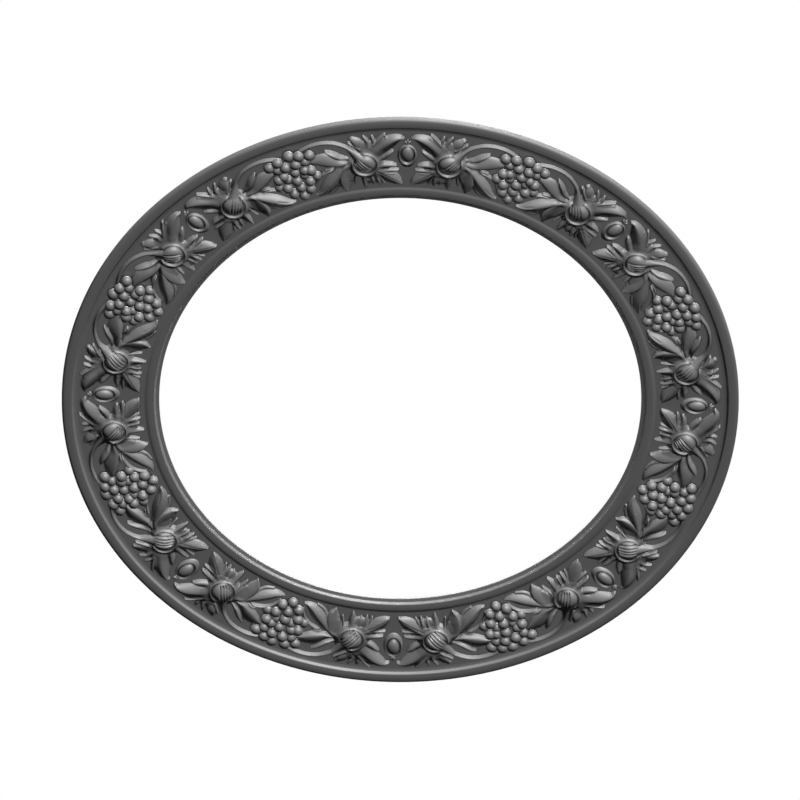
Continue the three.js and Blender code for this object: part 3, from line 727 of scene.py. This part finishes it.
def lacquer_material():
    """Satin graphite lacquer on carved limewood: one even dark grey with a soft, wide sheen, a faint
    cloudiness and a skin that is never quite level. Painted shade darkens the colour in the deep
    hollows."""
    found = bpy.data.materials.get("satin_graphite_lacquer")
    if found:
        return found
    base = finishes().lacquer
    material, tree, shader = new_material("satin_graphite_lacquer", base, 0.6)
    shader.inputs["Specular IOR Level"].default_value = 1.0
    place = add_node(tree, "ShaderNodeTexCoord").outputs["Object"]
    cloud = add_node(tree, "ShaderNodeTexNoise", {"Scale": 1 / (22 * MM), "Detail": 3.0},
                     {"Vector": place})
    tone = between(tree, cloud.outputs["Fac"], shade(base, 0.96), shade(base, 1.04))
    # Painted shade: ambient occlusion darkens the base colour in hollows and creases, down to a tenth of
    # the grey
    hollow = add_node(tree, "ShaderNodeAmbientOcclusion", {"Distance": 2.5 * MM}, samples=6)
    open_share = add_node(tree, "ShaderNodeMapRange", {"From Min": 0.4, "From Max": 0.85},
                          {"Value": hollow.outputs["AO"]})
    painted_shade = add_node(tree, "ShaderNodeMix", {6: shade(base, 0.1)},
                     {0: open_share.outputs[0], 7: tone}, data_type="RGBA")
    tree.links.new(painted_shade.outputs[2], shader.inputs["Base Color"])
    skin = add_node(tree, "ShaderNodeTexNoise", {"Scale": 1 / (1.6 * MM), "Detail": 2.0},
                    {"Vector": place})
    sheen = add_node(tree, "ShaderNodeMapRange", {"To Min": 0.58, "To Max": 0.62},
                     {"Value": skin.outputs["Fac"]})
    tree.links.new(sheen.outputs["Result"], shader.inputs["Roughness"])
    bump = add_node(tree, "ShaderNodeBump", {"Strength": 0.1, "Distance": 0.02 * MM},
                    {"Height": skin.outputs["Fac"]})
    tree.links.new(bump.outputs["Normal"], shader.inputs["Normal"])
    return material


def wood_material(name, base, grain_width):
    """Bare sanded wood: pale, matt, with long darker fibres along the board."""
    material, tree, shader = new_material(name, base, 0.62)
    place = add_node(tree, "ShaderNodeTexCoord").outputs["Object"]
    along = add_node(tree, "ShaderNodeMapping", {"Scale": (0.06, 1.0, 1.0)}, {"Vector": place})
    rings = add_node(tree, "ShaderNodeTexNoise", {"Scale": 1 / (grain_width * 3), "Detail": 4.0},
                     {"Vector": along.outputs["Vector"]})
    fibre = add_node(tree, "ShaderNodeTexNoise", {"Scale": 1 / (grain_width * 0.4), "Detail": 3.0},
                     {"Vector": along.outputs["Vector"]})
    broad = between(tree, rings.outputs["Fac"], shade(base, 0.72), shade(base, 1.12))
    fine = add_node(tree, "ShaderNodeMix", {0: 0.35}, {6: broad, 7: fibre.outputs["Fac"]},
                    data_type="RGBA", blend_type="MULTIPLY")
    tree.links.new(fine.outputs[2], shader.inputs["Base Color"])
    bump = add_node(tree, "ShaderNodeBump", {"Strength": 0.3, "Distance": 0.08 * MM},
                    {"Height": fibre.outputs["Fac"]})
    tree.links.new(bump.outputs["Normal"], shader.inputs["Normal"])
    return material


def metal_material(name, base, roughness, scratch):
    """Metal with fine scratches that catch the light and slightly dulled patches."""
    material, tree, shader = new_material(name, base, roughness, 1.0)
    place = add_node(tree, "ShaderNodeTexCoord").outputs["Object"]
    stretched = add_node(tree, "ShaderNodeMapping", {"Scale": (1.0, 1.0, 0.08)}, {"Vector": place})
    lines = add_node(tree, "ShaderNodeTexNoise", {"Scale": 1 / scratch, "Detail": 3.0},
                     {"Vector": stretched.outputs["Vector"]})
    patches = add_node(tree, "ShaderNodeTexNoise", {"Scale": 1 / (4 * MM), "Detail": 2.0},
                       {"Vector": place})
    tone = between(tree, patches.outputs["Fac"], shade(base, 0.8), shade(base, 1.1))
    tree.links.new(tone, shader.inputs["Base Color"])
    sheen = add_node(tree, "ShaderNodeMapRange", {"To Min": roughness - 0.1, "To Max": roughness + 0.12},
                     {"Value": lines.outputs["Fac"]})
    tree.links.new(sheen.outputs["Result"], shader.inputs["Roughness"])
    bump = add_node(tree, "ShaderNodeBump", {"Strength": 0.25, "Distance": 0.02 * MM},
                    {"Height": lines.outputs["Fac"]})
    tree.links.new(bump.outputs["Normal"], shader.inputs["Normal"])
    return material


def felt_material():
    """Pressed wool felt: no gloss, short fibres standing every way."""
    base = finishes().felt
    material, tree, shader = new_material("wool_felt", base, 0.95)
    shader.inputs["Sheen Weight"].default_value = 0.4
    place = add_node(tree, "ShaderNodeTexCoord").outputs["Object"]
    fibres = add_node(tree, "ShaderNodeTexNoise", {"Scale": 1 / (0.7 * MM), "Detail": 5.0},
                      {"Vector": place})
    tone = between(tree, fibres.outputs["Fac"], shade(base, 0.6), shade(base, 1.3))
    tree.links.new(tone, shader.inputs["Base Color"])
    bump = add_node(tree, "ShaderNodeBump", {"Strength": 0.8, "Distance": 0.3 * MM},
                    {"Height": fibres.outputs["Fac"]})
    tree.links.new(bump.outputs["Normal"], shader.inputs["Normal"])
    return material


def glass_material():
    """Clean float glass: clear and smooth, so that the eye passes through it."""
    material, _, shader = new_material("clear_float_glass", (1.0, 1.0, 1.0, 1.0), 0.0)
    shader.inputs["Transmission Weight"].default_value = 1.0
    shader.inputs["IOR"].default_value = 1.45
    return material


def dress(material, *names):
    """Give a material to CAD nodes whose shape stays."""
    for name in names:
        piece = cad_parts[name]
        for slot in piece.material_slots:
            slot.material = material


BACKING_BEVEL = 1.5
FILLET_GAP = 0.3


class CARVED_OT_fittings(bpy.types.Operator):
    """Turn the backing ring and the fillet, and give the glass and the metal fittings their finishes"""

    bl_idname = "carved_frame.fittings"
    bl_label = "Backing and fittings"

    def execute(self, context):
        f = finishes()
        s = sizes()
        hole = s.backing_inner / MM
        rim = s.backing_outer / MM
        face = s.backing_face / MM
        back = s.plate_back / MM
        corners = [(hole, face, 0.5), (hole, back, 0.2), (rim, back, 0.2),
                   (rim, face - BACKING_BEVEL, 0.5), (rim - BACKING_BEVEL, face, 0.5)]
        lime = wood_material("bare_limewood", f.backing, 2.4 * MM)
        turned_piece("turned_backing", corners, lime, "backing_ring")
        hole -= FILLET_GAP
        front, back = s.fillet_front / MM, s.fillet_back / MM
        inside = hole - s.fillet_width / MM
        corners = [(inside, back, 0.6), (inside, front, 0.2), (hole, front, 0.2), (hole, back, 0.3)]
        pine = wood_material("planed_pine", f.fillet, 1.6 * MM)
        turned_piece("turned_fillet", corners, pine, "glass_fillet")
        dress(glass_material(), "glass_pane")
        brass = metal_material("brushed_brass", f.brass, 0.32, 0.5 * MM)
        dress(brass, *[f"turn_button_{i}" for i in range(1, 5)])
        zinc = metal_material("zinc_plated_steel", f.zinc, 0.38, 0.7 * MM)
        screws = [f"turn_button_screw_{i}" for i in range(1, 5)]
        dress(zinc, *screws, "hanger_strap", "hanger_loop", "hanger_screw_1", "hanger_screw_2")
        dress(felt_material(), "wall_bumper_1", "wall_bumper_2")
        return {"FINISHED"}


# Stage


CAMERA_RISE = math.radians(33.75)
CAMERA_ROLL = math.radians(1.37)
CAMERA_SHIFT = (-0.27, -0.2)
CAMERA_DISTANCE = 2.0
PICTURE_WIDTH = 800
PIXEL = 0.83 * MM

# Each lamp is the direction that it shines from, and its strength
LAMPS = {
    "key_light": ((0.31, -0.28, 0.905), 6.7),
    "back_light": ((0.25, 0.574, 0.779), 1.0),
    "rear_fill": ((0.1, 0.97, 0.2), 2.5),
}
GLOW_BEHIND = 0.25
DIM = 0.015
FLOOR_HALF = 6
FLOOR_HEIGHT = -1.2


def camera_turn():
    """Look along +Y, tip down by the rise and roll by the roll."""
    return Matrix.Rotation(-CAMERA_ROLL, 4, "Y") @ Matrix.Rotation(math.pi / 2 - CAMERA_RISE, 4, "X")


def either(tree, first, second):
    """The larger of two numbers."""
    node = add_node(tree, "ShaderNodeMath", links={0: first, 1: second}, operation="MAXIMUM")
    return node.outputs[0]


def behind(tree, kind, output, start, end):
    """Share of the backdrop's glow in soft reflections: none in front of the frame, and a quarter
    well behind it."""
    place = add_node(tree, kind).outputs[output]
    parts = add_node(tree, "ShaderNodeSeparateXYZ", links={0: place})
    share = add_node(tree, "ShaderNodeMapRange",
                     {"From Min": start, "From Max": end, "To Max": GLOW_BEHIND},
                     {"Value": parts.outputs["Y"]})
    return share.outputs[0]


def white_where_seen(tree, glow, kind):
    """White for camera, clear and mirror rays, partly white for soft reflections of the backdrop.
    The light that falls on the frame from it is dim. The kind is that of its two shaders."""
    white, dim = (add_node(tree, kind, {"Color": (1, 1, 1, 1), "Strength": strength}).outputs[0]
                  for strength in (1.0, DIM))
    path = add_node(tree, "ShaderNodeLightPath")
    soft = add_node(tree, "ShaderNodeMath", links={0: path.outputs["Is Glossy Ray"], 1: glow},
                    operation="MULTIPLY")
    seen = either(tree, path.outputs["Is Camera Ray"], path.outputs["Is Transmission Ray"])
    seen = either(tree, seen, path.outputs["Is Singular Ray"])
    seen = either(tree, seen, soft.outputs[0])
    mix = add_node(tree, "ShaderNodeMixShader", links={0: seen, 1: dim, 2: white})
    return mix.outputs[0]


def add_sun(scene, name, towards, strength):
    """A soft lamp that shines from a direction and throws no shadow."""
    lamp = bpy.data.lights.new(name, "SUN")
    lamp.energy = strength
    lamp.angle = math.radians(12)
    lamp.use_shadow = False
    holder = bpy.data.objects.new(name, lamp)
    holder.rotation_euler = Vector(towards).to_track_quat("Z", "Y").to_euler()
    scene.collection.objects.link(holder)


class CARVED_OT_stage(bpy.types.Operator):
    """Set the camera, the three lamps, the pale surroundings and the floor"""

    bl_idname = "carved_frame.stage"
    bl_label = "Stage"

    def execute(self, context):
        scene = context.scene
        scene.view_settings.view_transform = "Standard"
        turn = camera_turn()
        lens = bpy.data.cameras.new("photo_camera")
        lens.type = "ORTHO"
        lens.ortho_scale = PICTURE_WIDTH * PIXEL
        lens.clip_end = 20
        camera = bpy.data.objects.new("photo_camera", lens)
        target = Vector((0, sizes().band_face, 0))
        aside, above = CAMERA_SHIFT
        offset = turn.to_3x3() @ Vector((aside * PIXEL, above * PIXEL, CAMERA_DISTANCE))
        camera.matrix_world = Matrix.Translation(target + offset) @ turn
        scene.collection.objects.link(camera)
        scene.camera = camera

        for name, (towards, strength) in LAMPS.items():
            add_sun(scene, name, towards, strength)

        world = bpy.data.worlds.new("pale_surroundings")
        scene.world = world
        world.use_nodes = True
        tree = world.node_tree
        tree.nodes.clear()
        glow = behind(tree, "ShaderNodeTexCoord", "Generated", 0.1, 0.5)
        mixed = white_where_seen(tree, glow, "ShaderNodeBackground")
        add_node(tree, "ShaderNodeOutputWorld", links={0: mixed})

        floor_points = [(x * FLOOR_HALF, y * FLOOR_HALF, FLOOR_HEIGHT)
                        for x, y in ((-1, -1), (1, -1), (1, 1), (-1, 1))]
        mesh = bpy.data.meshes.new("pale_floor")
        mesh.from_pydata(floor_points, [], [(0, 1, 2, 3)])
        floor = bpy.data.objects.new("pale_floor", mesh)
        scene.collection.objects.link(floor)
        material = bpy.data.materials.new("pale_floor")
        material.use_nodes = True
        tree = material.node_tree
        tree.nodes.clear()
        glow = behind(tree, "ShaderNodeNewGeometry", "Position", 2.8, 4.4)
        mixed = white_where_seen(tree, glow, "ShaderNodeEmission")
        add_node(tree, "ShaderNodeOutputMaterial", links={0: mixed})
        mesh.materials.append(material)
        return {"FINISHED"}


class CARVED_PT_panel(bpy.types.Panel):
    """Lists the pieces of the frame"""

    bl_idname = "CARVED_PT_panel"
    bl_label = "Carved Frame"
    bl_space_type = "VIEW_3D"
    bl_region_type = "UI"
    bl_category = "Carved Frame"

    def draw(self, context):
        layout = self.layout
        for group in (sizes(), finishes()):
            box = layout.box()
            for name in group.__annotations__:
                box.prop(group, name)
        for operator in OPERATORS:
            layout.operator(operator.bl_idname)


OPERATORS = (
    CARVED_OT_plate, CARVED_OT_sprays, CARVED_OT_bunches, CARVED_OT_cabochons,
    CARVED_OT_fittings, CARVED_OT_stage,
)
CLASSES = (FrameSizes, FrameFinishes, *OPERATORS, CARVED_PT_panel)


def register():
    for item in CLASSES:
        bpy.utils.register_class(item)
    bpy.types.Scene.carved_frame_sizes = bpy.props.PointerProperty(type=FrameSizes)
    bpy.types.Scene.carved_frame_finishes = bpy.props.PointerProperty(type=FrameFinishes)


def unregister():
    del bpy.types.Scene.carved_frame_finishes
    del bpy.types.Scene.carved_frame_sizes
    for item in reversed(CLASSES):
        bpy.utils.unregister_class(item)


def main():
    """Register the classes and make every piece in order."""
    register()
    for operator in OPERATORS:
        group, name = operator.bl_idname.split(".")
        getattr(getattr(bpy.ops, group), name)()


if __name__ == "__main__":
    main()
